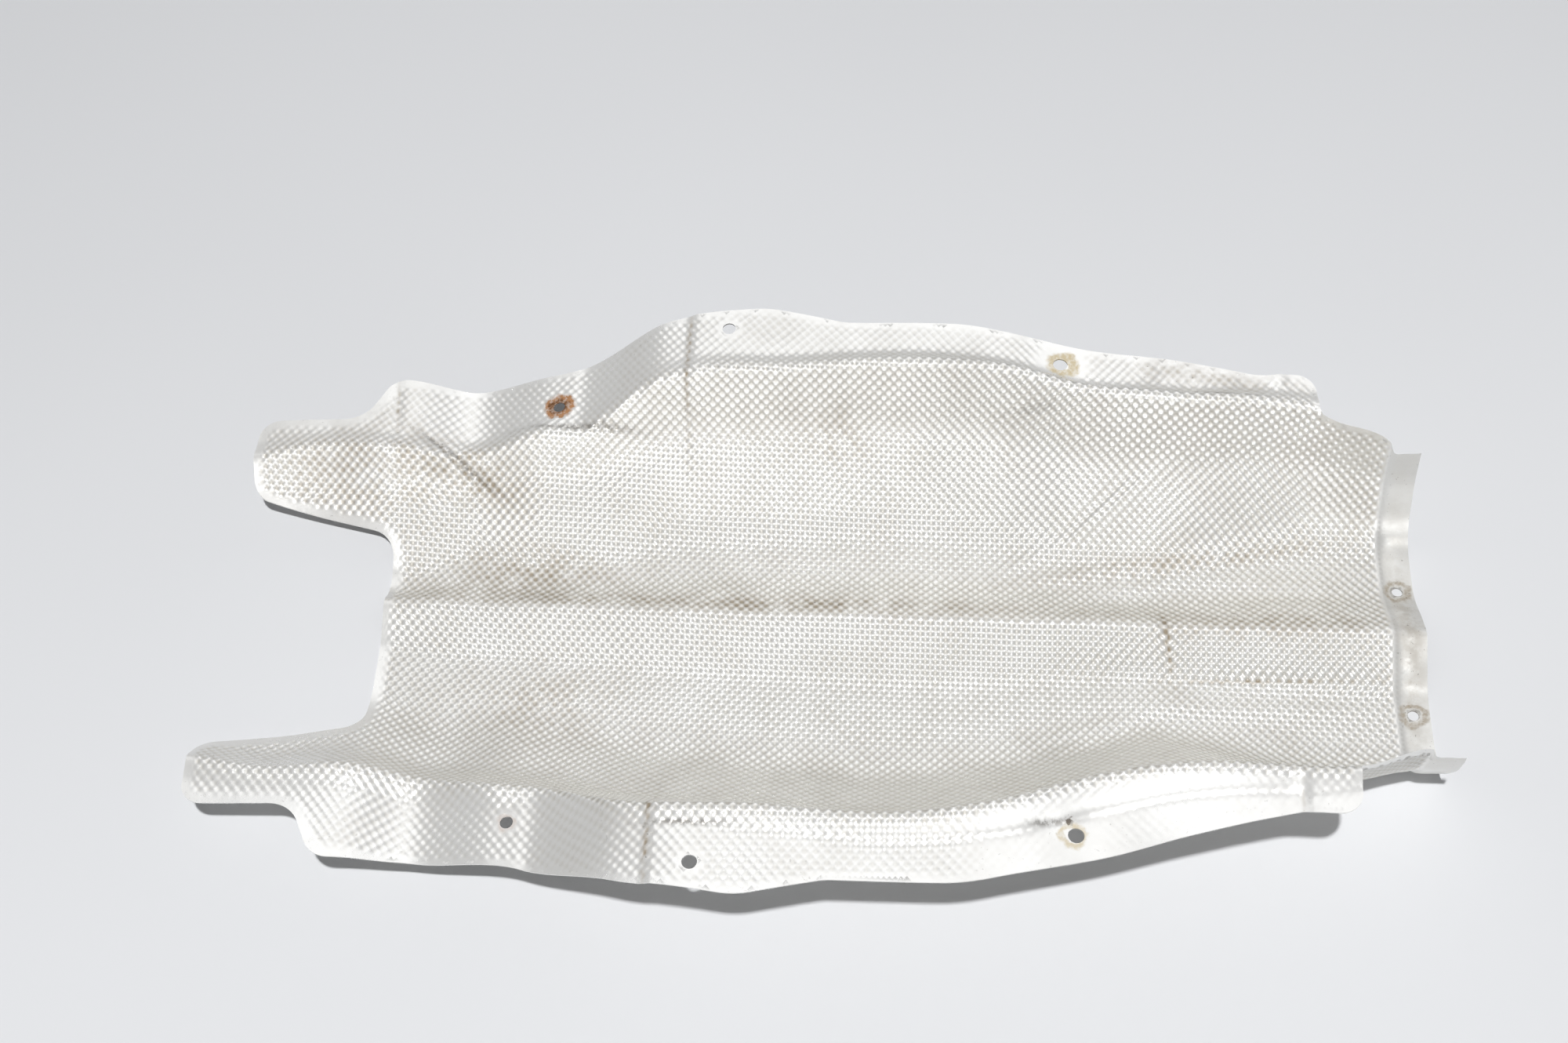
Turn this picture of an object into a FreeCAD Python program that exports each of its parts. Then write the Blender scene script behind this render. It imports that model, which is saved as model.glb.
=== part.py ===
import FreeCAD, Part
import math
import os

os.makedirs("parts", exist_ok=True)
vec = FreeCAD.Vector

# Overall sizes in mm. X runs from the ears to the end lip, Y across, Z up. The trough opens upwards.
overall_length = 770.0
overall_width = 426.0
fold_height = 100.0
sheet = 1.0

# Centre ridge at the ear end and at the lip end: rise over the valleys and shift off the middle.
ridge_rise_ear = 9.0
ridge_rise_lip = 20.0
ridge_shift_ear = 25.0
ridge_shift_lip = 3.0

# Bend radii of the upper surface.
ridge_bend = 7.0
valley_bend = 30.0
wall_bend = 55.0
fold_bend = 4.0
flange_bend = 12.0

# Width over which the sheet falls from the fold to the level flange.
crest_width = 14.0

# Step across the flanges, and the plain lip set outwards at the end of the trough.
joggle_place = -91.0
joggle_height = 2.0
lip_length = 19.0
lip_step = 1.5

# Bolt holes: distance from the middle of the length, half spacing across the part or inset from half
# the overall width, diameter.
ear_hole_place = -181.0
ear_hole_half = 155.0
ear_hole_bore = 8.0
joggle_hole_place = -65.5
joggle_hole_inset = 18.0
joggle_hole_bore = 9.0
neck_hole_place = 155.0
neck_hole_half = 171.0
neck_hole_bore = 9.5
lip_hole_half = 45.6
lip_hole_bore = 7.0

# Sections along the part: place along the length, fold half width over half the overall width, fold
# height and flange height over the greatest fold height, wall angle in degrees.
sections = [
    (0.00, 0.530, 0.460, 0.430, 48),
    (0.06, 0.570, 0.495, 0.460, 50),
    (0.13, 0.558, 0.510, 0.470, 50),
    (0.19, 0.576, 0.385, 0.345, 48),
    (0.25, 0.622, 0.520, 0.465, 50),
    (0.29, 0.632, 0.535, 0.530, 52),
    (0.36, 0.733, 0.820, 0.795, 60),
    (0.46, 0.750, 0.880, 0.815, 63),
    (0.57, 0.772, 0.910, 0.800, 64),
    (0.65, 0.735, 0.960, 0.795, 65),
    (0.72, 0.660, 0.970, 0.770, 66),
    (0.79, 0.622, 0.990, 0.830, 67),
    (0.91, 0.604, 0.900, 0.850, 74),
    (0.97, 0.532, 0.870, 0.820, 79),
    (1.00, 0.530, 0.870, 0.820, 79),
]

# Half of the plan outline from the notch to the lip: place along the length, distance from the middle
# over half the overall width, corner radius in mm.
outline = [
    (0.125, 0.340, 17),
    (0.000, 0.442, 11),
    (0.000, 0.678, 14),
    (0.092, 0.678, 22),
    (0.114, 0.842, 16),
    (0.185, 0.829, 70),
    (0.270, 0.862, 90),
    (0.365, 0.968, 110),
    (0.448, 1.004, 60),
    (0.515, 0.954, 40),
    (0.620, 0.954, 120),
    (0.870, 0.734, 60),
    (0.913, 0.740, 14),
    (0.914, 0.596, 4),
    (0.976, 0.515, 20),
    (1.000, 0.518, 0),
]

half_length = overall_length / 2
half_width = overall_width / 2
lip_start = half_length - lip_length
joggle_hole_half = half_width - joggle_hole_inset
overrun = 10.0


def along(place):
    return (place - 0.5) * overall_length


def slope(row, column):
    before = sections[max(row - 1, 0)]
    after = sections[min(row + 1, len(sections) - 1)]
    return (after[column] - before[column]) / (after[0] - before[0])


# One column of the sections, joined by smooth cubics and held level beyond both ends.
def at(x, column):
    place = min(max(x / overall_length + 0.5, 0.0), 1.0)
    row = max(i for i, section in enumerate(sections[:-1]) if section[0] <= place)
    left, right = sections[row], sections[row + 1]
    span = right[0] - left[0]
    t = (place - left[0]) / span
    value = left[column] + t * t * (3 - 2 * t) * (right[column] - left[column])
    value += t * (1 - t) ** 2 * span * slope(row, column)
    return value - t * t * (1 - t) * span * slope(row + 1, column)


def from_ear_to_lip(x, ear_value, lip_value):
    return ear_value + (x / overall_length + 0.5) * (lip_value - ear_value)


# Corners and bend radii of one cross section, near edge to far edge: flange, fold, wall, valley, ridge
# and the same again. Each wall leaves its valley in two bends and meets the fold at the wall angle.
def section_corners(x):
    half = at(x, 1) * half_width
    lean = at(x, 2) * fold_height / math.tan(math.radians(at(x, 4)))
    foot = half - 1.63 * lean
    drop = joggle_height if x < joggle_place else 0.0
    height = at(x, 2) * fold_height - drop
    flange = min(at(x, 3) * fold_height - drop, height - 0.15 * crest_width)
    outwards = lip_step if x > lip_start else 0.0
    level = sheet + lip_step * max(x / lip_start, 0.0) if x < lip_start else sheet
    ridge = from_ear_to_lip(x, ridge_shift_ear, ridge_shift_lip)
    rise = from_ear_to_lip(x, ridge_rise_ear, ridge_rise_lip)
    sides = []
    for side, flank in ((-1, 0.40), (1, 0.48)):
        way = [
            (ridge + flank * (side * foot - ridge), 0.0, valley_bend),
            (side * (foot + outwards), 0.0, wall_bend),
            (side * (half - 0.5 * lean + outwards), height / 2, wall_bend),
            (side * (half + outwards), height, fold_bend),
            (side * (half + outwards + crest_width), flange, flange_bend),
            (side * (half_width + overrun), flange, 0.0),
        ]
        sides.append([(vec(x, y, level + z), bend) for y, z, bend in way])
    return sides[0][::-1] + [(vec(x, ridge, level + rise), ridge_bend)] + sides[1]


# The same corners one sheet thickness lower, with every bend kept about the same centre.
def underside(corners):
    moved = []
    last = len(corners) - 1
    lengthwise = vec(1, 0, 0)
    for i, (corner, bend) in enumerate(corners):
        back = (corner - corners[max(i - 1, 0)][0]) if i else (corners[1][0] - corner)
        ahead = (corners[i + 1][0] - corner) if i < last else back
        back_down = back.cross(lengthwise).normalize()
        ahead_down = ahead.cross(lengthwise).normalize()
        shift = (back_down + ahead_down) * (sheet / (1 + back_down.dot(ahead_down)))
        if bend > 0:
            bend = max(bend - sheet, sheet) if back.cross(ahead).x < 0 else bend + sheet
        moved.append((corner + shift, bend))
    return moved


# Straight edges joined by arcs at the corners. A radius gives way where the edges beside it are short.
def rounded(corners, closed):
    count = len(corners)
    arcs = []
    for i, (corner, radius) in enumerate(corners):
        if radius == 0:
            arcs.append((corner, None, corner))
            continue
        back = corners[i - 1][0] - corner
        ahead = corners[(i + 1) % count][0] - corner
        opening = back.getAngle(ahead)
        cut = min(radius / math.tan(opening / 2), 0.45 * back.Length, 0.45 * ahead.Length)
        first = corner + back.normalize() * cut
        last = corner + ahead.normalize() * cut
        bow = cut * (1 / math.cos(opening / 2) - math.tan(opening / 2))
        middle = corner + (first + last - corner * 2).normalize() * bow
        arcs.append((first, Part.Arc(first, middle, last).toShape(), last))
    edges = []
    for i, (first, arc, last) in enumerate(arcs):
        if arc:
            edges.append(arc)
        if closed or i < count - 1:
            edges.append(Part.LineSegment(last, arcs[(i + 1) % count][0]).toShape())
    return edges


# Closed outline of the sheet at one station.
def section_wire(x):
    corners = section_corners(x)
    lower = underside(corners)
    near_edge = Part.LineSegment(lower[0][0], corners[0][0]).toShape()
    far_edge = Part.LineSegment(corners[-1][0], lower[-1][0]).toShape()
    edges = rounded(corners, False) + [far_edge] + rounded(lower, False)[::-1] + [near_edge]
    return Part.Wire(edges)


# Even stations, with a close pair at the joggle and at the lip so that both steps stay crisp.
def stations():
    count = 26
    span = overall_length + 2 * overrun
    places = [span * (i / count - 0.5) for i in range(count + 1)]
    for step in (joggle_place, lip_start):
        places = [x for x in places if abs(x - step) > 0.3 * span / count]
        places += [step - 2, step + 2]
    return sorted(places)


def plan_outline():
    far = [(vec(along(place), share * half_width, -overrun), radius) for place, share, radius in outline]
    near = [(vec(point.x, -point.y, point.z), radius) for point, radius in far]
    return Part.Face(Part.Wire(rounded(far + near[::-1], True)))


def bolt_hole(x, y, bore):
    return Part.makeCylinder(bore / 2, fold_height + 4 * overrun, vec(x, y, -overrun))


blank = Part.makeLoft([section_wire(x) for x in stations()], True, True)
trim = plan_outline().extrude(vec(0, 0, fold_height + 4 * overrun))
shield = blank.common(trim)

holes = []
for side in (-1, 1):
    holes.append(bolt_hole(ear_hole_place, side * ear_hole_half, ear_hole_bore))
    holes.append(bolt_hole(joggle_hole_place, side * joggle_hole_half, joggle_hole_bore))
    holes.append(bolt_hole(neck_hole_place, side * neck_hole_half, neck_hole_bore))
    holes.append(bolt_hole(half_length - 0.55 * lip_length, side * lip_hole_half, lip_hole_bore))
shield = shield.cut(Part.makeCompound(holes)).Solids[0]

shield.exportStep("parts/heat_shield.step")
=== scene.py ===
import math
import bmesh
import bpy
import numpy as np
from mathutils import Matrix, Vector


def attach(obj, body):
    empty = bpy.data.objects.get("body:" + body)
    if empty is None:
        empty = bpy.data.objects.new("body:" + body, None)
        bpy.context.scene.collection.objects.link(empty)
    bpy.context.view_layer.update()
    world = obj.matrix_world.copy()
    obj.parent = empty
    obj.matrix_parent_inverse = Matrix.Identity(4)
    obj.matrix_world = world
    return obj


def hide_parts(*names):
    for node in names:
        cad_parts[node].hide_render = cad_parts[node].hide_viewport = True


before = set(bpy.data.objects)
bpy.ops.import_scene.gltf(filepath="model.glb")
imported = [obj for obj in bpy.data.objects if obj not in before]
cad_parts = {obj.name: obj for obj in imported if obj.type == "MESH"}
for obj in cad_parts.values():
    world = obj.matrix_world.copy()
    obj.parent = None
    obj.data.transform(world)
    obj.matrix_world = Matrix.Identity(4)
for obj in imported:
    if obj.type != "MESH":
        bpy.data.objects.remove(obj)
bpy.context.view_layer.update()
print("frame loaded")

# form of the sheet in millimetres, as the solid has it
sheetForm = {
    "length": 770.0, "width": 426.0, "foldHeight": 100.0, "thickness": 1.0,
    "ridgeRise": (9.0, 20.0), "ridgeShift": (25.0, 3.0),
    "ridgeBend": 7.0, "valleyBend": 30.0, "wallBend": 55.0, "foldBend": 4.0, "flangeBend": 12.0,
    "crestWidth": 14.0, "jogglePlace": -91.0, "joggleHeight": 2.0, "lipLength": 19.0, "lipStep": 1.5,
    # place along the length, fold half width, fold height, flange height, wall angle
    "sections": [
        (0.00, 0.530, 0.460, 0.430, 48), (0.06, 0.570, 0.495, 0.460, 50), (0.13, 0.558, 0.510, 0.470, 50),
        (0.19, 0.576, 0.385, 0.345, 48), (0.25, 0.622, 0.520, 0.465, 50), (0.29, 0.632, 0.535, 0.530, 52),
        (0.36, 0.733, 0.820, 0.795, 60), (0.46, 0.750, 0.880, 0.815, 63), (0.57, 0.772, 0.910, 0.800, 64),
        (0.65, 0.735, 0.960, 0.795, 65), (0.72, 0.660, 0.970, 0.770, 66), (0.79, 0.622, 0.990, 0.830, 67),
        (0.91, 0.604, 0.900, 0.850, 74), (0.97, 0.532, 0.870, 0.820, 79), (1.00, 0.530, 0.870, 0.820, 79)],
    # half of the plan outline: place along the length, distance from the middle, corner radius
    "outline": [
        (0.125, 0.340, 17), (0.000, 0.442, 11), (0.000, 0.678, 14), (0.092, 0.678, 22), (0.114, 0.842, 16),
        (0.185, 0.829, 70), (0.270, 0.862, 90), (0.365, 0.968, 110), (0.448, 1.004, 60), (0.515, 0.954, 40),
        (0.620, 0.954, 120), (0.870, 0.734, 60), (0.913, 0.740, 14), (0.914, 0.596, 4), (0.976, 0.515, 20),
        (1.000, 0.518, 0)],
    # place, half spacing, diameter, flattened pad round it
    "holes": [(-181.0, 155.0, 8.0, 4.0), (-65.5, 195.0, 9.0, 3.0), (155.0, 171.0, 9.5, 15.0), (374.55, 45.6, 7.0, 9.0)],
}
form = sheetForm
halfLength = form["length"] / 2
halfWidth = form["width"] / 2
lipStart = halfLength - form["lipLength"]


def smooth(low, high, value):
    t = np.clip((value - low) / (high - low), 0.0, 1.0)
    return t * t * (3 - 2 * t)


def slopeOf(row, column):
    rows = form["sections"]
    before, after = rows[max(row - 1, 0)], rows[min(row + 1, len(rows) - 1)]
    return (after[column] - before[column]) / (after[0] - before[0])


def sectionValue(x, column):
    rows = form["sections"]
    place = min(max(x / form["length"] + 0.5, 0.0), 1.0)
    row = max(i for i, section in enumerate(rows[:-1]) if section[0] <= place)
    left, right = rows[row], rows[row + 1]
    span = right[0] - left[0]
    t = (place - left[0]) / span
    value = left[column] + t * t * (3 - 2 * t) * (right[column] - left[column])
    value += t * (1 - t) ** 2 * span * slopeOf(row, column)
    return value - t * t * (1 - t) * span * slopeOf(row + 1, column)


def fromEarToLip(x, pair):
    return pair[0] + (x / form["length"] + 0.5) * (pair[1] - pair[0])


# points of a bent line, with the bends drawn as short chords
def bentLine(corners, chords):
    points = [np.array(corners[0][:2], float)]
    for (ay, az, _), (by, bz, bend), (cy, cz, _) in zip(corners, corners[1:], corners[2:]):
        corner = np.array((by, bz), float)
        back, ahead = np.array((ay, az)) - corner, np.array((cy, cz)) - corner
        backLength, aheadLength = np.linalg.norm(back), np.linalg.norm(ahead)
        back, ahead = back / backLength, ahead / aheadLength
        opening = math.acos(float(np.clip(back @ ahead, -1.0, 1.0)))
        cut = min(bend / math.tan(opening / 2), 0.45 * backLength, 0.45 * aheadLength) if bend else 0.0
        if cut < 0.01 or opening > 3.13:
            points.append(corner)
            continue
        radius = cut * math.tan(opening / 2)
        inward = (back + ahead) / np.linalg.norm(back + ahead)
        centre = corner + inward * math.hypot(cut, radius)
        start, end = corner + back * cut - centre, corner + ahead * cut - centre
        sweep = math.pi - opening
        for k in range(chords + 1):
            t = k / chords
            points.append(centre + (start * math.sin((1 - t) * sweep) + end * math.sin(t * sweep)) / math.sin(sweep))
    points.append(np.array(corners[-1][:2], float))
    return np.array(points)


# upper surface of one cross section, near edge to far edge
def sectionLine(x):
    half = sectionValue(x, 1) * halfWidth
    tall = sectionValue(x, 2) * form["foldHeight"]
    lean = tall / math.tan(math.radians(sectionValue(x, 4)))
    foot = half - 1.63 * lean
    drop = form["joggleHeight"] * (1 - float(np.clip((x - form["jogglePlace"] + 2) / 4, 0, 1)))
    height = tall - drop
    flange = min(sectionValue(x, 3) * form["foldHeight"] - drop, height - 0.15 * form["crestWidth"])
    onLip = float(np.clip((x - lipStart + 2) / 4, 0, 1))
    outwards = form["lipStep"] * onLip
    level = form["thickness"] + form["lipStep"] * min(max(x / lipStart, 0.0), 1.0) * (1 - onLip)
    ridge, rise = fromEarToLip(x, form["ridgeShift"]), fromEarToLip(x, form["ridgeRise"])
    sides = []
    for side, flank in ((-1, 0.40), (1, 0.48)):
        sides.append([
            (ridge + flank * (side * foot - ridge), level, form["valleyBend"]),
            (side * (foot + outwards), level, form["wallBend"]),
            (side * (half - 0.5 * lean + outwards), level + height / 2, form["wallBend"]),
            (side * (half + outwards), level + height, form["foldBend"]),
            (side * (half + outwards + form["crestWidth"]), level + flange, form["flangeBend"]),
            (side * 400.0, level + flange, 0.0)])
    return bentLine(sides[0][::-1] + [(ridge, level + rise, form["ridgeBend"])] + sides[1], 7), ridge


def planOutline():
    far = [((place - 0.5) * form["length"], share * halfWidth, radius) for place, share, radius in form["outline"]]
    ring = far + [(x, -y, radius) for x, y, radius in far[::-1]]
    ring = [((ring[-1][0] + ring[0][0]) / 2, 0.0, 0)] + ring
    return bentLine(ring + ring[:1], 10)[:-1]


outlinePoints = planOutline()


# distance to the plan outline, positive inside
def edgeDistance(x, y):
    ends = np.roll(outlinePoints, -1, axis=0)
    best = np.full(x.shape, 1e9)
    inside = np.zeros(x.shape, bool)
    for (ax, ay), (bx, by) in zip(outlinePoints, ends):
        dx, dy = bx - ax, by - ay
        t = np.clip(((x - ax) * dx + (y - ay) * dy) / max(dx * dx + dy * dy, 1e-9), 0, 1)
        best = np.minimum(best, (x - ax - t * dx) ** 2 + (y - ay - t * dy) ** 2)
        if abs(dy) > 1e-9:
            inside ^= ((ay > y) != (by > y)) & (x < dx * (y - ay) / dy + ax)
    return np.where(inside, 1, -1) * np.sqrt(best)


# pitches, depth and plain rim in millimetres
embossing = {
    "alongPitch": 6.5, "acrossPitch": 7.3, "depth": 0.46, "flangeShare": 0.46, "rim": (2.0, 6.5),
    "earRim": 2.5, "earStart": (-240.0, -290.0), "plainFlangeStart": (80.0, 110.0), "plainFlangeLoss": 0.8,
    "rowsEachWay": 84, "overhang": 9.0, "leastHeight": 0.4,
}

# grid on the bumps of the roll pattern: half a pitch along, half a pitch across from the ridge
halfAlong, halfAcross = embossing["alongPitch"] / 2, embossing["acrossPitch"] / 2
columns = np.arange(-math.ceil((halfLength + 4) / halfAlong), math.ceil((halfLength + 4) / halfAlong) + 1)
rows = np.arange(-embossing["rowsEachWay"], embossing["rowsEachWay"] + 1)
gridX = np.repeat((columns * halfAlong)[:, None], len(rows), axis=1)
gridV = np.repeat((rows * halfAcross)[None, :], len(columns), axis=0)
gridY, gridZ = np.zeros_like(gridX), np.zeros_like(gridX)
foldHalf = np.zeros(len(columns))
for i, x in enumerate(columns * halfAlong):
    line, ridge = sectionLine(x)
    run = np.concatenate(([0.0], np.cumsum(np.linalg.norm(np.diff(line, axis=0), axis=1))))
    run -= np.interp(ridge, line[:, 0], run)
    gridY[i] = np.interp(gridV[i], run, line[:, 0])
    gridZ[i] = np.interp(gridV[i], run, line[:, 1])
    foldHalf[i] = sectionValue(x, 1) * halfWidth
print("sheet surface laid out", gridX.shape)

# dents and creases from handling: place x, y, reach along, reach across, depth, turn in degrees
dents = {
    "list": [
        (223.0, 0.0, 4.0, 22.0, -1.4, 8), (285.0, -24.0, 75.0, 4.0, -1.5, 0),
        (215.0, -42.0, 34.0, 9.0, 2.2, 0), (200.0, 60.0, 70.0, 5.0, 1.8, 9),
        (186.0, 42.0, 50.0, 6.0, 1.6, 11), (307.0, 48.0, 50.0, 6.0, 1.7, -4),
        (180.0, -58.0, 44.0, 4.5, 1.7, 17), (295.0, -44.0, 50.0, 5.0, 1.5, 1),
        (160.0, -76.0, 20.0, 4.0, 1.3, 32), (-165.0, 137.0, 28.0, 3.0, -1.6, -4),
        (-70.0, -170.0, 22.0, 2.6, -1.3, 0), (140.0, -164.0, 10.0, 2.6, -1.2, 0),
        (137.0, 140.0, 11.0, 2.6, -1.1, -6), (-250.0, 121.0, 30.0, 3.4, -1.3, -32),
        (-292.0, 154.0, 3.2, 22.0, -1.4, 6), (284.0, -143.0, 3.2, 16.0, 1.4, 0),
        (40.0, -190.0, 16.0, 12.0, -1.0, 0), (-240.0, 40.0, 40.0, 20.0, 0.5, 10),
        (170.0, 83.0, 52.0, 4.5, 1.9, 27), (175.0, 90.0, 28.0, 4.5, -1.6, 34),
        (95.0, 188.0, 22.0, 12.0, -0.9, 0), (240.0, 150.0, 9.0, 7.0, -2.0, 0),
        (-30.0, 195.0, 12.0, 12.0, -1.0, 0), (212.0, 160.0, 7.0, 9.0, -1.9, 0),
        (275.0, 150.0, 7.0, 7.0, -2.1, 0), (295.0, 152.0, 5.0, 8.0, 1.6, 0),
        (376.0, 20.0, 9.0, 8.0, 1.2, 0), (376.0, -18.0, 9.0, 7.0, 1.0, 0),
        (376.0, 70.0, 9.0, 10.0, 0.9, 0)],
    # slow waves: turns along and across, phase, depth
    "waves": [
        (0.041, 0.017, 0.4, 0.45), (0.067, -0.052, 1.9, 0.32), (0.023, 0.083, 4.1, 0.30), (0.109, 0.061, 2.6, 0.16)],
}
for dentX, dentY, along, across, depth, turn in dents["list"]:
    c, s = math.cos(math.radians(turn)), math.sin(math.radians(turn))
    a = ((gridX - dentX) * c + (gridY - dentY) * s) / along
    b = ((gridY - dentY) * c - (gridX - dentX) * s) / across
    gridZ += depth * np.exp(-a * a - b * b)
for kx, ky, phase, depth in dents["waves"]:
    gridZ += depth * np.sin(kx * gridX + ky * gridY + phase) * smooth(2.0, 12.0, gridZ)

surface = np.stack((gridX, gridY, gridZ), axis=2)
normals = np.cross(np.gradient(surface, axis=0), np.gradient(surface, axis=1))
normals /= np.linalg.norm(normals, axis=2, keepdims=True)

# how strongly the pattern stands: none on rims, pads and the lip, weaker on the flanges
edge = edgeDistance(gridX, gridY)
alongSheet = edge / np.maximum(normals[:, :, 2], 0.2)  # distance to the edge measured on the slope
strength = smooth(*embossing["rim"], alongSheet - embossing["earRim"] * smooth(*embossing["earStart"], gridX))
onFlange = smooth(0.0, 10.0, np.abs(gridY) - foldHalf[:, None])
strength *= 1 - (1 - embossing["flangeShare"]) * onFlange
plainFlange = onFlange * smooth(*embossing["plainFlangeStart"], gridX) * (gridY < 0)
strength *= 1 - embossing["plainFlangeLoss"] * plainFlange
strength *= 1 - smooth(lipStart - 6, lipStart - 1, gridX)
for holeX, holeHalf, bore, pad in form["holes"]:
    for side in (-1, 1):
        near = np.hypot(gridX - holeX, gridY - side * holeHalf) - bore / 2
        strength *= smooth(pad * 0.5, pad + 3, near)


# closed slab: upper quads with a middle point, lower quads, and a wall round the loose edge
def buildSlab():
    shape = gridX.shape
    keep = edge > -embossing["overhang"]
    keepQuad = keep[:-1, :-1] | keep[1:, :-1] | keep[:-1, 1:] | keep[1:, 1:]
    used = np.zeros(shape, bool)
    for di in (0, 1):
        for dj in (0, 1):
            used[di:shape[0] - 1 + di, dj:shape[1] - 1 + dj] |= keepQuad
    count = int(used.sum())
    index = np.full(shape, -1)
    index[used] = np.arange(count)
    top = surface
    low = top - normals * form["thickness"]
    pattern = np.stack((gridX, gridV), axis=2)
    qi, qj = np.nonzero(keepQuad)
    corners = np.stack((index[qi, qj], index[qi + 1, qj], index[qi + 1, qj + 1], index[qi, qj + 1]), axis=1)

    def middle(grid):
        return (grid[qi, qj] + grid[qi + 1, qj] + grid[qi + 1, qj + 1] + grid[qi, qj + 1]) / 4

    centres = 2 * count + np.arange(len(qi))
    points = np.concatenate((top[used], low[used], middle(top)))
    lattice = np.concatenate((pattern[used], pattern[used], middle(pattern)))
    lift = np.concatenate((normals[used], normals[used], middle(normals)))
    hold = np.concatenate((strength[used], strength[used], middle(strength)))
    faces = []
    for k in range(4):
        faces.append(np.stack((corners[:, k], corners[:, (k + 1) % 4], centres), axis=1))
    sides = np.concatenate([np.stack((corners[:, k], corners[:, (k + 1) % 4]), axis=1) for k in range(4)])
    loose = {}
    for a, b in sides.tolist():
        if loose.pop((b, a), None) is None:
            loose[(a, b)] = True
    wall = [(b, a, a + count, b + count) for a, b in loose]
    lower = (corners[:, ::-1] + count).tolist()
    mesh = bpy.data.meshes.new("heatShieldSheet")
    mesh.from_pydata((points / 1000).tolist(), [], np.concatenate(faces).tolist() + lower + wall)
    lattice = np.column_stack((lattice, np.zeros(len(lattice))))
    layers = [("lattice", "FLOAT_VECTOR", "vector", lattice), ("lift", "FLOAT_VECTOR", "vector", lift),
              ("hold", "FLOAT", "value", hold)]
    for name, kind, field, data in layers:
        layer = mesh.attributes.new(name, kind, "POINT")
        layer.data.foreach_set(field, np.ascontiguousarray(data, dtype=np.float32).ravel())
    mesh.update()
    return bpy.data.objects.new("heatShieldSheet", mesh), count


# maths on shader and geometry sockets, written as plain sums
class Sock:
    def __init__(self, tree, link):
        self.tree, self.link = tree, link

    def maths(self, operation, other=None, swap=False):
        node = self.tree.nodes.new("ShaderNodeMath")
        node.operation = operation
        values = [self] if other is None else [other, self] if swap else [self, other]
        for socket, value in zip(node.inputs, values):
            plug(self.tree, socket, value)
        return Sock(self.tree, node.outputs[0])

    def __add__(self, other): return self.maths("ADD", other)
    def __radd__(self, other): return self.maths("ADD", other, True)
    def __sub__(self, other): return self.maths("SUBTRACT", other)
    def __rsub__(self, other): return self.maths("SUBTRACT", other, True)
    def __mul__(self, other): return self.maths("MULTIPLY", other)
    def __rmul__(self, other): return self.maths("MULTIPLY", other, True)
    def __truediv__(self, other): return self.maths("DIVIDE", other)
    def __pow__(self, other): return self.maths("POWER", other)
    def __neg__(self): return self.maths("MULTIPLY", -1.0)
    def cos(self): return self.maths("COSINE")
    def exp(self): return self.maths("EXPONENT")
    def absolute(self): return self.maths("ABSOLUTE")
    def upTo(self, top): return self.maths("MINIMUM", top)
    def atLeast(self, low): return self.maths("MAXIMUM", low)

    def between(self, low, high):
        node = addNode(self.tree, "ShaderNodeMapRange", {"interpolation_type": "SMOOTHSTEP"},
                       {"Value": self, "From Min": low, "From Max": high})
        return Sock(self.tree, node.outputs[0])


def plug(tree, socket, value):
    if isinstance(value, Sock):
        tree.links.new(value.link, socket)
    else:
        socket.default_value = value


# settings first, then values and links by socket name
def addNode(tree, kind, settings=None, values=None):
    node = tree.nodes.new(kind)
    for key, value in (settings or {}).items():
        setattr(node, key, value)
    for key, value in (values or {}).items():
        plug(tree, node.inputs[key], value)
    return node


def embossTree(material):
    tree = bpy.data.node_groups.new("rollEmboss", "GeometryNodeTree")
    tree.interface.new_socket("Geometry", in_out="INPUT", socket_type="NodeSocketGeometry")
    sizes = {}
    for key in ("alongPitch", "acrossPitch", "depth"):
        sizes[key] = tree.interface.new_socket(key, in_out="INPUT", socket_type="NodeSocketFloat").identifier
    tree.interface.new_socket("Geometry", in_out="OUTPUT", socket_type="NodeSocketGeometry")
    entry, leave = addNode(tree, "NodeGroupInput"), addNode(tree, "NodeGroupOutput")

    def stored(name, kind):
        node = addNode(tree, "GeometryNodeInputNamedAttribute", {"data_type": kind}, {"Name": name})
        return Sock(tree, node.outputs[0])

    place = addNode(tree, "ShaderNodeSeparateXYZ", {}, {"Vector": stored("lattice", "FLOAT_VECTOR")})
    wave = (Sock(tree, place.outputs["X"]) * math.tau / Sock(tree, entry.outputs["alongPitch"])).cos()
    wave = wave * (Sock(tree, place.outputs["Y"]) * math.tau / Sock(tree, entry.outputs["acrossPitch"])).cos()
    rise = wave * stored("hold", "FLOAT") * Sock(tree, entry.outputs["depth"]) / 1000.0
    shift = addNode(tree, "ShaderNodeVectorMath", {"operation": "SCALE"},
                    {"Vector": stored("lift", "FLOAT_VECTOR"), "Scale": rise})
    move = addNode(tree, "GeometryNodeSetPosition", {},
                   {"Geometry": Sock(tree, entry.outputs["Geometry"]), "Offset": Sock(tree, shift.outputs[0])})
    real = addNode(tree, "GeometryNodeRealizeInstances", {}, {"Geometry": Sock(tree, move.outputs[0])})
    dressed = addNode(tree, "GeometryNodeSetMaterial", {},
                      {"Geometry": Sock(tree, real.outputs[0]), "Material": material})
    tree.links.new(dressed.outputs[0], leave.inputs[0])
    return tree, sizes


aluminium = {"clean": (0.87, 0.865, 0.845, 1), "dull": (0.74, 0.735, 0.71, 1), "pit": (0.44, 0.40, 0.30, 1),
             "dirtAndShadeTone": (0.33, 0.26, 0.17, 1), "rust": (0.40, 0.17, 0.045, 1), "burnt": (0.10, 0.045, 0.02, 1),
             "ochre": (0.58, 0.45, 0.20, 1), "dark": (0.11, 0.09, 0.07, 1),
             "roughness": 0.28, "metallic": 0.82}
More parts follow.
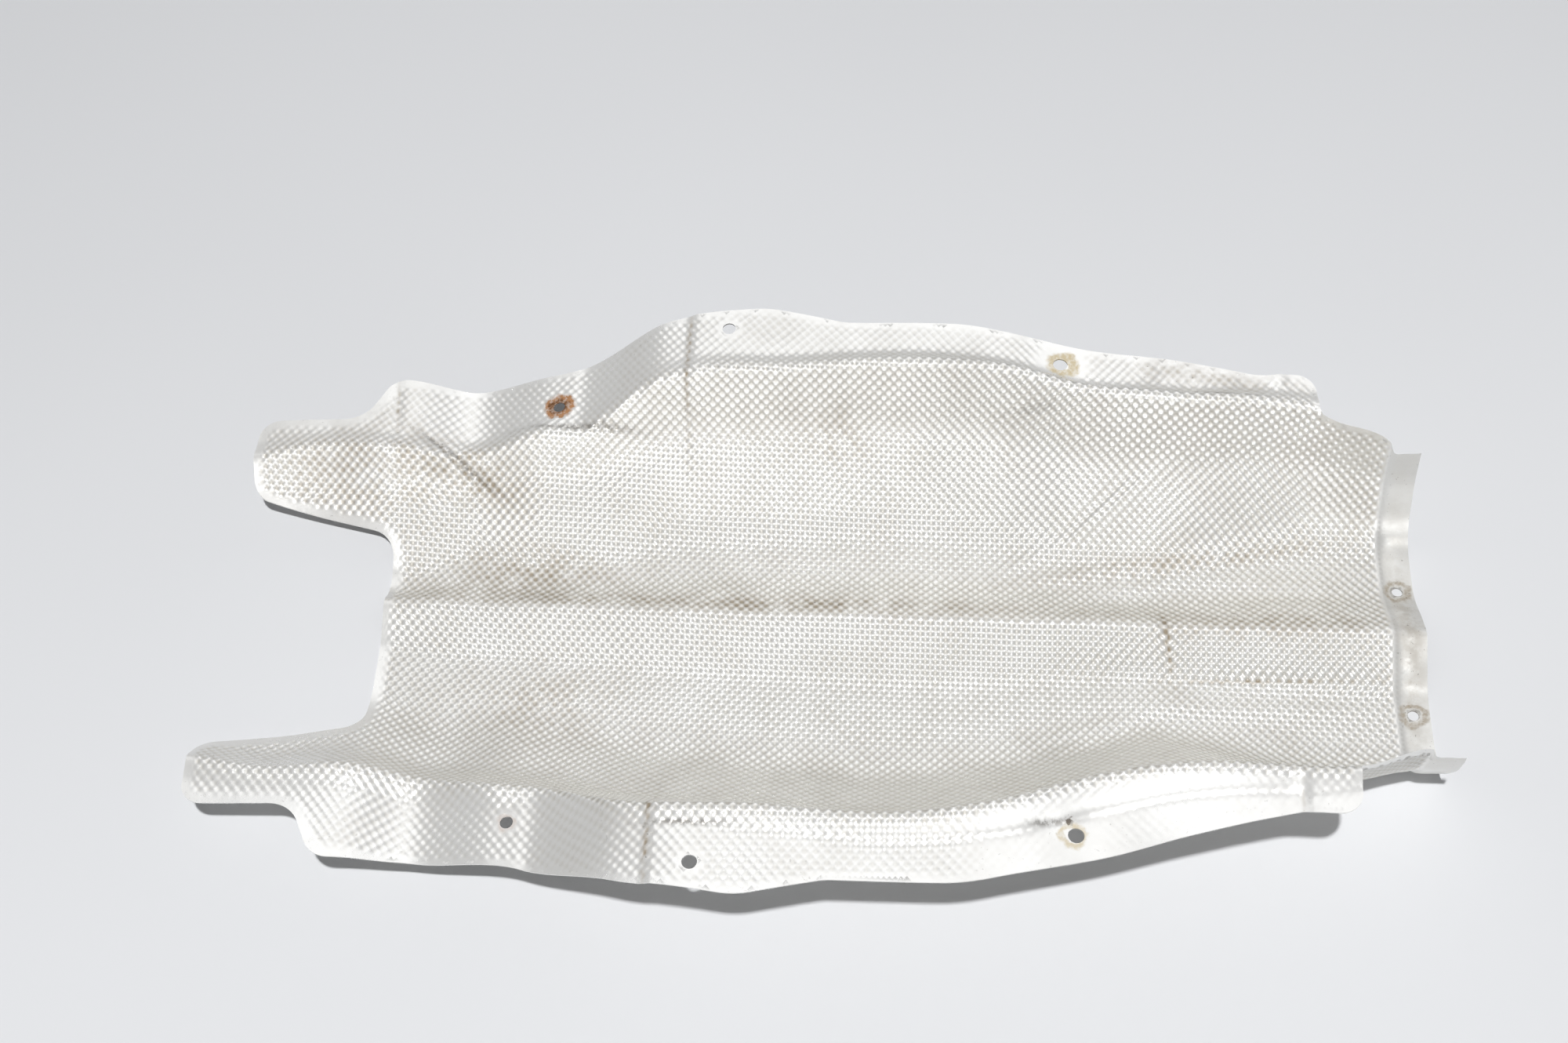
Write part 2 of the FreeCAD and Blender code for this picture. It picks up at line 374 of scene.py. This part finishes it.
# dirt and painted shade in metres: x, y, reach along, reach across, turn in degrees, weight, colour
# the first place darkens the far ear: painted shade; the next ones up to the joggle lines are dirt
dirtAndShadePlaces = [(-0.315, 0.108, 0.065, 0.045, 0, 0.42, "dirtAndShadeTone"), (-0.235, 0.112, 0.040, 0.014, -20, 0.60, "dirtAndShadeTone"),
              (-0.195, 0.052, 0.055, 0.018, 0, 0.55, "dirtAndShadeTone"), (-0.178, -0.050, 0.045, 0.034, 0, 0.36, "dirtAndShadeTone"),
              (-0.05, 0.024, 0.22, 0.009, -1, 0.55, "dirtAndShadeTone"), (0.30, 0.012, 0.09, 0.012, 0, 0.50, "dirtAndShadeTone"),
              (0.24, 0.066, 0.10, 0.008, 9, 0.50, "dirtAndShadeTone"), (0.376, 0.0, 0.009, 0.08, 0, 1.10, "dirtAndShadeTone"),
              (0.25, 0.158, 0.060, 0.012, -12, 0.55, "dirtAndShadeTone"), (0.01, 0.136, 0.020, 0.012, 0, 0.40, "dirtAndShadeTone"),
              # all places from here on are painted shade along the joggle step and the dent creases
              (-0.092, 0.178, 0.0015, 0.032, 0, 1.5, "dirtAndShadeTone"), (-0.092, -0.180, 0.0015, 0.032, 0, 1.5, "dirtAndShadeTone"),
              (-0.292, 0.155, 0.0013, 0.022, 6, 0.8, "dirtAndShadeTone"), (0.284, -0.146, 0.0013, 0.016, 0, 0.7, "dirtAndShadeTone"),
              (-0.165, 0.137, 0.034, 0.0022, -4, 1.6, "dark"), (-0.250, 0.121, 0.030, 0.0024, -32, 1.4, "dark"),
              (-0.07, -0.170, 0.024, 0.0018, 0, 1.6, "dark"), (0.140, -0.164, 0.012, 0.0018, 8, 1.5, "dark"),
              (0.137, 0.139, 0.013, 0.0016, -6, 0.7, "dark"), (0.223, -0.002, 0.0016, 0.020, 8, 0.9, "dirtAndShadeTone"),
              (0.235, 0.140, 0.045, 0.0016, -6, 1.2, "dark"), (0.285, -0.024, 0.070, 0.0014, 0, 0.7, "dirtAndShadeTone")]
# stained rings round the holes: x, y, inner and outer radius, weight, colour; the last entry is a dark spot beside the
# near neck hole, the painted shade of a small hole
stainRingsAndHoleShade = [(-0.181, 0.155, 0.003, 0.0120, 1.25, "rust"), (-0.1815, 0.1555, 0.003, 0.0078, 0.85, "burnt"),
              (0.157, 0.171, 0.004, 0.0125, 0.75, "ochre"),
              (0.153, -0.171, 0.0055, 0.0095, 0.55, "ochre"), (-0.181, -0.155, 0.003, 0.007, 0.25, "rust"),
              (0.3745, 0.0456, 0.0070, 0.0105, 0.75, "dirtAndShadeTone"), (0.3745, -0.0456, 0.0070, 0.0105, 0.75, "dirtAndShadeTone"),
              (0.3745, 0.0456, 0.0030, 0.0050, 0.60, "dark"), (0.3745, -0.0456, 0.0030, 0.0050, 0.60, "dark"),
              (0.1512, -0.1625, 0.0001, 0.0030, 1.0, "dark")]


def aluminiumMaterial():
    look = aluminium
    material = bpy.data.materials.new("embossedAluminium")
    material.use_nodes = True
    tree = material.node_tree
    tree.nodes.clear()
    where = Sock(tree, addNode(tree, "ShaderNodeTexCoord").outputs["Object"])
    split = addNode(tree, "ShaderNodeSeparateXYZ", {}, {"Vector": where})
    x, y = Sock(tree, split.outputs["X"]), Sock(tree, split.outputs["Y"])

    def noise(scale, detail=4.0, rough=0.55):
        node = addNode(tree, "ShaderNodeTexNoise", {},
                       {"Vector": where, "Scale": scale, "Detail": detail, "Roughness": rough})
        return Sock(tree, node.outputs[0])

    def blend(factor, first, second):
        node = addNode(tree, "ShaderNodeMix", {"data_type": "RGBA"})
        plug(tree, node.inputs[0], factor)
        plug(tree, node.inputs[6], first)
        plug(tree, node.inputs[7], second)
        return Sock(tree, node.outputs[2])

    def around(px, py, reachX, reachY, turn):
        c, k = math.cos(math.radians(turn)), math.sin(math.radians(turn))
        ahead, aside = (x - px) * c + (y - py) * k, (y - py) * c - (x - px) * k
        return (-1.0 * ((ahead / reachX) ** 2.0 + (aside / reachY) ** 2.0)).exp()

    spot = addNode(tree, "ShaderNodeAttribute", {"attribute_name": "lattice"}).outputs["Vector"]
    spot = addNode(tree, "ShaderNodeSeparateXYZ", {}, {"Vector": Sock(tree, spot)})
    hold = Sock(tree, addNode(tree, "ShaderNodeAttribute", {"attribute_name": "hold"}).outputs["Fac"])
    bump = (Sock(tree, spot.outputs["X"]) * (math.tau / embossing["alongPitch"])).cos()
    bump = bump * (Sock(tree, spot.outputs["Y"]) * (math.tau / embossing["acrossPitch"])).cos() * hold
    patches = noise(9.0, 5.0)
    grain = noise(260.0, 3.0, 0.6)
    specks = noise(420.0, 2.0).between(0.68, 0.74)
    onLip = x.between(lipStart / 1000 - 0.002, lipStart / 1000)
    colour = blend((patches.between(0.38, 0.66) * 0.35 + onLip * 0.80).upTo(1.0), look["clean"], look["dull"])
    stainsAndShade = noise(38.0, 6.0, 0.65).between(0.36, 0.70) * 0.14
    broken = noise(70.0, 5.0, 0.7).between(0.30, 0.62)
    ragged = noise(240.0, 3.0, 0.7).between(0.34, 0.60)
    paintedCreaseShade = 0.0
    # the brown places add stains and painted shade, the dark places add painted shade along the dent creases
    for px, py, reachX, reachY, turn, weight, tone in dirtAndShadePlaces:
        if tone == "dirtAndShadeTone":
            stainsAndShade = around(px, py, reachX, reachY, turn) * (broken * weight) + stainsAndShade
        else:
            paintedCreaseShade = around(px, py, reachX, reachY, turn) * (ragged * weight) + paintedCreaseShade
    # darker brown in the emboss hollows: dirt in the pits, and painted shade in these hollows
    pitDirtAndShade = (0.40 * hold - bump * 0.85).atLeast(0.0).upTo(1.0)
    colour = blend(pitDirtAndShade * (0.22 + patches * 0.14), colour, look["pit"])
    # stains and painted shade in the brown colour
    colour = blend((stainsAndShade * (0.30 + pitDirtAndShade)).upTo(0.85), colour, look["dirtAndShadeTone"])
    # painted shade: dark lines along the creases of the dents
    colour = blend((paintedCreaseShade * 0.5).upTo(0.55), colour, look["dark"])
    rust = 0.0
    wander = (noise(150.0, 3.0) - 0.5) * 0.009
    flaked = 0.45 + noise(330.0, 4.0, 0.7).between(0.36, 0.62) * 0.55
    for px, py, inner, outer, weight, tone in stainRingsAndHoleShade:
        reach = ((x - px) ** 2.0 + (y - py) ** 2.0) ** 0.5 + wander
        ring = reach.between(outer, outer * 0.7) * reach.between(inner * 0.6, inner) * (flaked * weight)
        colour = blend(ring.upTo(0.92), colour, look[tone])
        # rust sums every ring, the painted shade of the small hole too
        rust = ring + rust
    colour = blend(specks * (0.2 + stainsAndShade) * 0.8, colour, look["dark"])
    rough = look["roughness"] + pitDirtAndShade * 0.12 + (patches - 0.5) * 0.18 + (grain - 0.5) * 0.10
    rough = rough + stainsAndShade * 0.3 + rust * 0.35
    metal = look["metallic"] - stainsAndShade * 0.35 - rust * 0.75
    height = bump * embossing["depth"] + (grain - 0.5) * 0.05 + (noise(60.0, 4.0) - 0.5) * 0.25
    relief = addNode(tree, "ShaderNodeBump", {}, {"Strength": 1.0, "Distance": 0.001, "Height": height})
    shader = addNode(tree, "ShaderNodeBsdfPrincipled", {}, {
        "Base Color": colour, "Roughness": rough.upTo(0.9).atLeast(0.15), "Metallic": metal.atLeast(0.0).upTo(1.0),
        "Normal": Sock(tree, relief.outputs[0])})
    output = addNode(tree, "ShaderNodeOutputMaterial")
    tree.links.new(shader.outputs[0], output.inputs["Surface"])
    return material


sheetMaterial = aluminiumMaterial()
sheet, lowerStart = buildSlab()
bpy.context.collection.objects.link(sheet)
print("slab built", len(sheet.data.polygons))


def settle(piece):
    done = bpy.data.meshes.new_from_object(piece.evaluated_get(bpy.context.evaluated_depsgraph_get()))
    piece.modifiers.clear()
    piece.data = done


tree, sizes = embossTree(sheetMaterial)
press = sheet.modifiers.new("emboss", "NODES")
press.node_group = tree
for key, identifier in sizes.items():
    press[identifier] = embossing[key]
settle(sheet)
heights = np.empty(len(sheet.data.vertices) * 3, dtype=np.float32)
sheet.data.vertices.foreach_get("co", heights)
# the lower face rests on the floor and the upper face stays clear of it
least = np.full(len(sheet.data.vertices), embossing["leastHeight"] / 1000, dtype=np.float32)
least[lowerStart:2 * lowerStart] = 0.0
heights[2::3] = np.maximum(heights[2::3], least)
sheet.data.vertices.foreach_set("co", heights)
print("pattern pressed")


def prism(name, rings, low, high):
    points, faces = [], []
    for ring in rings:
        start, count = len(points), len(ring)
        points += [(px, py, low) for px, py in ring] + [(px, py, high) for px, py in ring]
        faces.append([start + k for k in range(count)][::-1])
        faces.append([start + count + k for k in range(count)])
        for k in range(count):
            n = (k + 1) % count
            faces.append([start + k, start + n, start + count + n, start + count + k])
    mesh = bpy.data.meshes.new(name)
    mesh.from_pydata(points, [], faces)
    mesh.update()
    piece = bpy.data.objects.new(name, mesh)
    bpy.context.collection.objects.link(piece)
    return piece


outlineRing = (outlinePoints / 1000).tolist()
area = sum(ax * by - bx * ay for (ax, ay), (bx, by) in zip(outlineRing, outlineRing[1:] + outlineRing[:1]))
trim = prism("trimTool", [outlineRing if area > 0 else outlineRing[::-1]], -0.05, 0.2)
holeRings = []
for holeX, holeHalf, bore, pad in form["holes"]:
    for side in (-1, 1):
        turn = np.linspace(0, math.tau, 32, endpoint=False)
        ring = np.column_stack((holeX + bore / 2 * np.cos(turn), side * holeHalf + bore / 2 * np.sin(turn)))
        holeRings.append(ring / 1000)
punch = prism("punchTool", holeRings, -0.05, 0.2)
for name, operation, tool in (("trim", "INTERSECT", trim), ("punch", "DIFFERENCE", punch)):
    cut = sheet.modifiers.new(name, "BOOLEAN")
    cut.operation, cut.object, cut.solver = operation, tool, "MANIFOLD"
settle(sheet)
for tool in (trim, punch):
    bpy.data.objects.remove(tool)
cleaned = bmesh.new()
cleaned.from_mesh(sheet.data)
bmesh.ops.dissolve_degenerate(cleaned, dist=4e-5, edges=cleaned.edges[:])
bmesh.ops.triangulate(cleaned, faces=[face for face in cleaned.faces if len(face.verts) > 4])
print("open or doubled edges", sum(len(line.link_faces) != 2 for line in cleaned.edges))
cleaned.to_mesh(sheet.data)
cleaned.free()
sheet.data.materials.clear()
sheet.data.materials.append(sheetMaterial)
sheet.data.shade_smooth()
sheet.data.set_sharp_from_angle(angle=math.radians(55))
print("outline trimmed and holes punched", len(sheet.data.polygons))

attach(sheet, "root")
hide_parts("heat_shield")

studio = {"floorColour": (0.82, 0.83, 0.85, 1), "roomColour": (0.795, 0.80, 0.81, 1), "roomLight": 0.20,
          "roomSeen": 0.84, "panelSeen": 1.70, "panelWay": (0.03, 0.56, 0.83), "sideShade": 0.12, "frontSeen": 1.50,
          "backdrop": 0.90, "fade": (1.05, 1.8)}


def floorMaterial():
    material = bpy.data.materials.new("paleFloor")
    material.use_nodes = True
    tree = material.node_tree
    shader = tree.nodes["Principled BSDF"]
    where = Sock(tree, addNode(tree, "ShaderNodeTexCoord").outputs["Object"])
    noise = addNode(tree, "ShaderNodeTexNoise", {}, {"Vector": where, "Scale": 1.3, "Detail": 2.0})
    cloud = Sock(tree, noise.outputs[0])
    mix = addNode(tree, "ShaderNodeMix", {"data_type": "RGBA"})
    plug(tree, mix.inputs[0], cloud.between(0.2, 0.8))
    plug(tree, mix.inputs[6], studio["floorColour"])
    plug(tree, mix.inputs[7], tuple(0.96 * c for c in studio["floorColour"][:3]) + (1,))
    tree.links.new(mix.outputs[2], shader.inputs["Base Color"])
    shader.inputs["Roughness"].default_value = 0.7
    # far from the part the floor passes into the backdrop
    reach = addNode(tree, "ShaderNodeVectorMath", {"operation": "LENGTH"}, {0: where})
    far = addNode(tree, "ShaderNodeEmission", {}, {"Color": studio["roomColour"], "Strength": studio["backdrop"]})
    rays = addNode(tree, "ShaderNodeLightPath").outputs
    seen = Sock(tree, rays["Is Camera Ray"]) + Sock(tree, rays["Is Glossy Ray"])
    seen = seen + Sock(tree, rays["Is Transmission Ray"])
    share = Sock(tree, reach.outputs["Value"]).between(*studio["fade"]) * seen.upTo(1.0)
    fade = addNode(tree, "ShaderNodeMixShader", {}, {0: share})
    tree.links.new(shader.outputs[0], fade.inputs[1])
    tree.links.new(far.outputs[0], fade.inputs[2])
    tree.links.new(fade.outputs[0], tree.nodes["Material Output"].inputs["Surface"])
    return material


floorMesh = bpy.data.meshes.new("studioFloor")
floorMesh.from_pydata([(-60, -60, 0), (60, -60, 0), (60, 60, 0), (-60, 60, 0)], [], [(0, 1, 2, 3)])
floorMesh.materials.append(floorMaterial())
floor = bpy.data.objects.new("studioFloor", floorMesh)
bpy.context.collection.objects.link(floor)

# the room is pale to the eye and in the metal, and gives the floor only a part of its light
world = bpy.data.worlds.new("paleRoom")
bpy.context.scene.world = world
world.use_nodes = True
room = world.node_tree
path = addNode(room, "ShaderNodeLightPath")
direct = Sock(room, path.outputs["Is Camera Ray"]) + Sock(room, path.outputs["Is Transmission Ray"])
mirrored = Sock(room, path.outputs["Is Glossy Ray"])
room.nodes["Background"].inputs["Color"].default_value = studio["roomColour"]
way = Sock(room, addNode(room, "ShaderNodeTexCoord").outputs["Generated"])
facing = addNode(room, "ShaderNodeVectorMath", {"operation": "DOT_PRODUCT"}, {0: way, 1: studio["panelWay"]})
panel = Sock(room, facing.outputs["Value"]).between(0.84, 0.98)
parts = addNode(room, "ShaderNodeSeparateXYZ", {}, {"Vector": way}).outputs
aside = Sock(room, parts["X"]).absolute().between(0.25, 0.80)
front = (-Sock(room, parts["Y"])).between(0.55, 0.95)
pale = studio["roomSeen"] + panel * (studio["panelSeen"] - studio["roomSeen"]) + front * studio["frontSeen"]
pale = pale * (1.0 - aside * studio["sideShade"])
plug(room, room.nodes["Background"].inputs["Strength"], studio["roomLight"] + mirrored * (pale - studio["roomLight"])
     + direct.upTo(1.0) * (studio["backdrop"] - studio["roomLight"]))

# both lamps stand together and aim at the middle of the part; the fill doesn't show in the metal
lamps = [
    {"name": "flash", "place": (0.15, -1.22, 3.60), "size": 0.12, "watts": 30.0, "mirrored": True},
    {"name": "fill", "place": (0.15, -1.22, 3.60), "size": 0.12, "watts": 90.0, "mirrored": False},
]
for lamp in lamps:
    light = bpy.data.lights.new(lamp["name"], "AREA")
    light.size, light.energy = lamp["size"], lamp["watts"]
    holder = bpy.data.objects.new(lamp["name"], light)
    holder.location = lamp["place"]
    holder.rotation_euler = (-Vector(lamp["place"])).to_track_quat("-Z", "Y").to_euler()
    holder.visible_glossy = lamp["mirrored"]
    bpy.context.collection.objects.link(holder)

photoCamera = {"place": (0.06109, -0.72098, 1.21105), "right": (0.99806961, 0.04450577, -0.04331622),
               "forward": (-0.06080582, 0.55834507, -0.82737744), "lens": 49.68}
cameraData = bpy.data.cameras.new("photoCamera")
cameraData.lens, cameraData.sensor_width = photoCamera["lens"], 36.0
camera = bpy.data.objects.new("photoCamera", cameraData)
right, forward = Vector(photoCamera["right"]), Vector(photoCamera["forward"])
up = right.cross(forward)
turn = Matrix((right, up, -forward)).transposed().to_4x4()
camera.matrix_world = Matrix.Translation(photoCamera["place"]) @ turn
bpy.context.collection.objects.link(camera)
bpy.context.scene.camera = camera
bpy.context.scene.view_settings.view_transform = "Standard"
print("studio ready")
